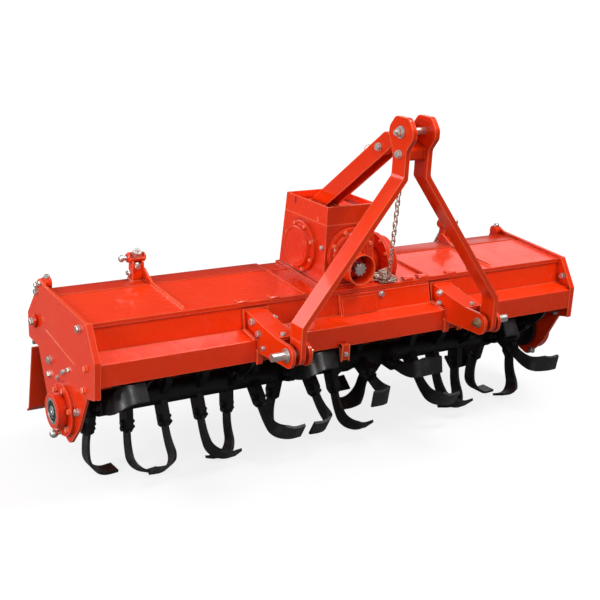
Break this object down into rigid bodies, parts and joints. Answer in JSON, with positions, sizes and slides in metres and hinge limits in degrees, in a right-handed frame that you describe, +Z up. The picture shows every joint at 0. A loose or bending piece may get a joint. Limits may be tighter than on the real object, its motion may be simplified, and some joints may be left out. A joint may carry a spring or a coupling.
{
  "type": "rotavator",
  "caption": "Tractor-mounted rotary tiller: bladed rotor under a folded steel hood, central gearbox, linkage mast, lower hitch pins and a hinged tailboard.",
  "frame": {"origin": "on the ground, under the middle of the machine's bounding box", "axes": "+X across the machine towards its right side as the tractor pulls it, -Y forward to the tractor, +Z up"},
  "size_m": [2.2, 0.958, 1.2932],
  "materials": {
    "red_paint": "glossy orange-red machinery paint on folded and cast steel",
    "black_paint": "satin black paint on the rotor tube, blade holders and forged blades",
    "bright_steel": "zinc-plated pins, rods and the power take-off shaft"
  },
  "bodies": {
    "frame": {"side_plate_left": "red_paint", "side_plate_right": "red_paint", "front_beam": "red_paint", "top_cover_left": "red_paint", "top_cover_right": "red_paint", "front_panel_left": "red_paint", "front_panel_right": "red_paint", "centre_panel": "red_paint", "rear_cover": "red_paint", "hinge_rod": "bright_steel", "centre_deck": "red_paint", "gearbox_casing": "red_paint", "tower_tray": "red_paint", "side_bearing_cap": "red_paint", "input_bearing_cap": "red_paint", "shaft_guard": "red_paint", "drop_gear_housing": "red_paint", "cross_shaft_tube": "red_paint", "drive_case_right": "red_paint", "bearing_housing_left": "red_paint", "hitch_bracket_left": "red_paint", "hitch_bracket_right": "red_paint", "lower_pin_left": "bright_steel", "lower_pin_right": "bright_steel", "mast_bar_left": "red_paint", "mast_bar_right": "red_paint", "mast_pin": "bright_steel", "mast_strut": "red_paint", "mast_lug": "red_paint", "rear_post_left": "red_paint", "rear_post_right": "red_paint", "post_rib_left": "red_paint", "post_rib_right": "red_paint", "safety_chain": "bright_steel"},
    "rotor": {"rotor_tube": "black_paint", "blades_right_hand": "black_paint", "blades_left_hand": "black_paint"},
    "input_shaft": {"input_shaft": "bright_steel"},
    "tailboard": {"tailboard": "red_paint", "rod_pins": "bright_steel"},
    "adjusting_rods": {"adjusting_rods": "bright_steel"}
  },
  "joints": [
    {"name": "rotor_turn", "type": "hinge", "parent": "frame", "child": "rotor", "pos_m": [0, 0.025, 0.27575], "axis": [1, 0, 0], "continuous": true},
    {"name": "input_shaft_turn", "type": "hinge", "parent": "frame", "child": "input_shaft", "pos_m": [0, -0.092, 0.70275], "axis": [0, -1, 0], "continuous": true},
    {"name": "tailboard_swing", "type": "hinge", "parent": "frame", "child": "tailboard", "pos_m": [0, 0.363, 0.40175], "axis": [1, 0, 0], "range_deg": [0, 50]},
    {"name": "adjusting_rods_swing", "type": "hinge", "parent": "tailboard", "child": "adjusting_rods", "pos_m": [0, 0.46297, 0.2955], "axis": [1, 0, 0], "range_deg": [-37.5, 0]}
  ],
  "couplings": [
    {"joint": "input_shaft_turn", "follows": "rotor_turn", "ratio": 2.45},
    {"joint": "adjusting_rods_swing", "follows": "tailboard_swing", "ratio": -0.735}
  ]
}
